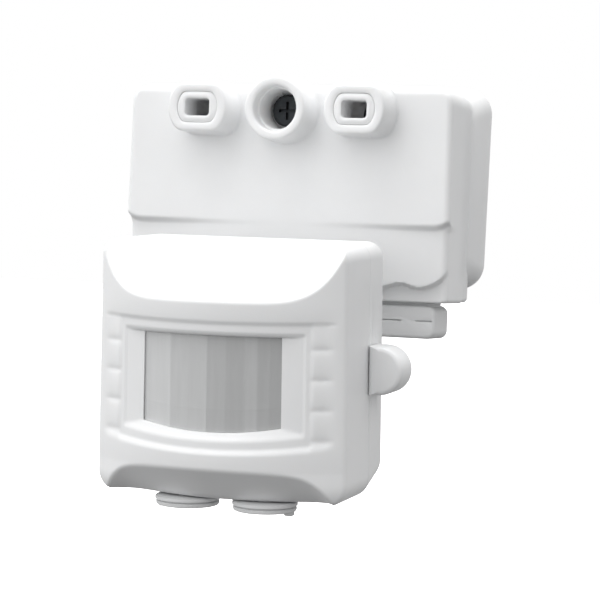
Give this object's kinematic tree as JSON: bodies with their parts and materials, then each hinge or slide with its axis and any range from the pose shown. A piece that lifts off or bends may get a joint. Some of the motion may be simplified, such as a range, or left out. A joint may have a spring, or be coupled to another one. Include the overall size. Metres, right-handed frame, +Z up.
{
  "type": "motion sensor",
  "caption": "Wall-mounted passive infrared motion sensor: a screw-on wall box with cable glands and a curved sensor head on a pan and tilt arm, with adjustment knobs.",
  "frame": {"origin": "centre of the wall box's back face, on the wall plane", "axes": "+Y into the wall, +Z up, +X to the right seen from the front; the sensor head looks along -Y and slightly down"},
  "size_m": [0.106, 0.0901, 0.122],
  "materials": {
    "white_plastic": "satin white, fine moulded surface",
    "insert_plastic": "matt white",
    "gland_plastic": "matt off-white, slightly flexible",
    "knob_plastic": "matt off-white",
    "lens_plastic": "milky translucent polyethylene",
    "seal_rubber": "matt light grey silicone",
    "zinc_steel": "zinc plated",
    "dark_steel": "blackened",
    "nylon": "matt natural nylon",
    "black_plastic": "matt black",
    "blue_plastic": "matt blue",
    "yellow_plastic": "gloss yellow",
    "board_green": "green solder resist on glass-fibre board",
    "cell_orange": "clear epoxy over an orange track",
    "led_red": "clear red"
  },
  "bodies": {
    "wall_box": {"rear_base": "white_plastic", "front_cover": "white_plastic", "box_gasket": "seal_rubber", "screw_insert_left": "insert_plastic", "screw_insert_right": "insert_plastic", "cover_screw": "dark_steel", "cable_gland_left": "gland_plastic", "cable_gland_right": "gland_plastic", "terminal_block": "nylon", "terminal_screw_1": "zinc_steel", "terminal_screw_2": "zinc_steel", "terminal_screw_3": "zinc_steel", "cable_clamp": "nylon", "clamp_screw_1": "zinc_steel", "clamp_screw_2": "zinc_steel"},
    "swivel_arm": {"swivel_arm": "white_plastic", "pan_seal": "seal_rubber", "pan_nut": "nylon"},
    "sensor_head": {"head_front_shell": "white_plastic", "head_rear_shell": "white_plastic", "head_gasket": "seal_rubber", "fresnel_lens": "lens_plastic", "lens_retainer": "white_plastic", "head_screw_1": "zinc_steel", "head_screw_2": "zinc_steel", "head_screw_3": "zinc_steel", "head_screw_4": "zinc_steel", "tilt_nut": "zinc_steel", "tilt_washer_left": "nylon", "tilt_washer_right": "nylon", "circuit_board": "board_green", "pyro_sensor": "zinc_steel", "relay": "black_plastic", "film_capacitor": "yellow_plastic", "electrolytic_capacitor": "black_plastic", "light_cell": "cell_orange", "status_led": "led_red", "time_trimmer": "blue_plastic", "lux_trimmer": "blue_plastic"},
    "tilt_lock": {"tilt_bolt": "zinc_steel", "tilt_knob": "white_plastic"},
    "time_dial": {"time_knob": "knob_plastic"},
    "lux_dial": {"lux_knob": "knob_plastic"}
  },
  "joints": [
    {"name": "pan", "type": "hinge", "parent": "wall_box", "child": "swivel_arm", "pos_m": [0, -0.024, -0.0315], "axis": [0, 0, 1], "range_deg": [-15, 15]},
    {"name": "tilt", "type": "hinge", "parent": "swivel_arm", "child": "sensor_head", "pos_m": [0, -0.0545, -0.0498], "axis": [1, 0, 0], "range_deg": [-5, 45]},
    {"name": "tilt_lock_turn", "type": "hinge", "parent": "sensor_head", "child": "tilt_lock", "pos_m": [0.0408, -0.0545, -0.0498], "axis": [1, 0, 0], "range_deg": [-90, 90]},
    {"name": "time_turn", "type": "hinge", "parent": "sensor_head", "child": "time_dial", "pos_m": [-0.0114, -0.06979, -0.0865], "axis": [0, -0.061, 0.9981], "range_deg": [-135, 135]},
    {"name": "lux_turn", "type": "hinge", "parent": "sensor_head", "child": "lux_dial", "pos_m": [0.0114, -0.06979, -0.0865], "axis": [0, -0.061, 0.9981], "range_deg": [-135, 135]}
  ]
}
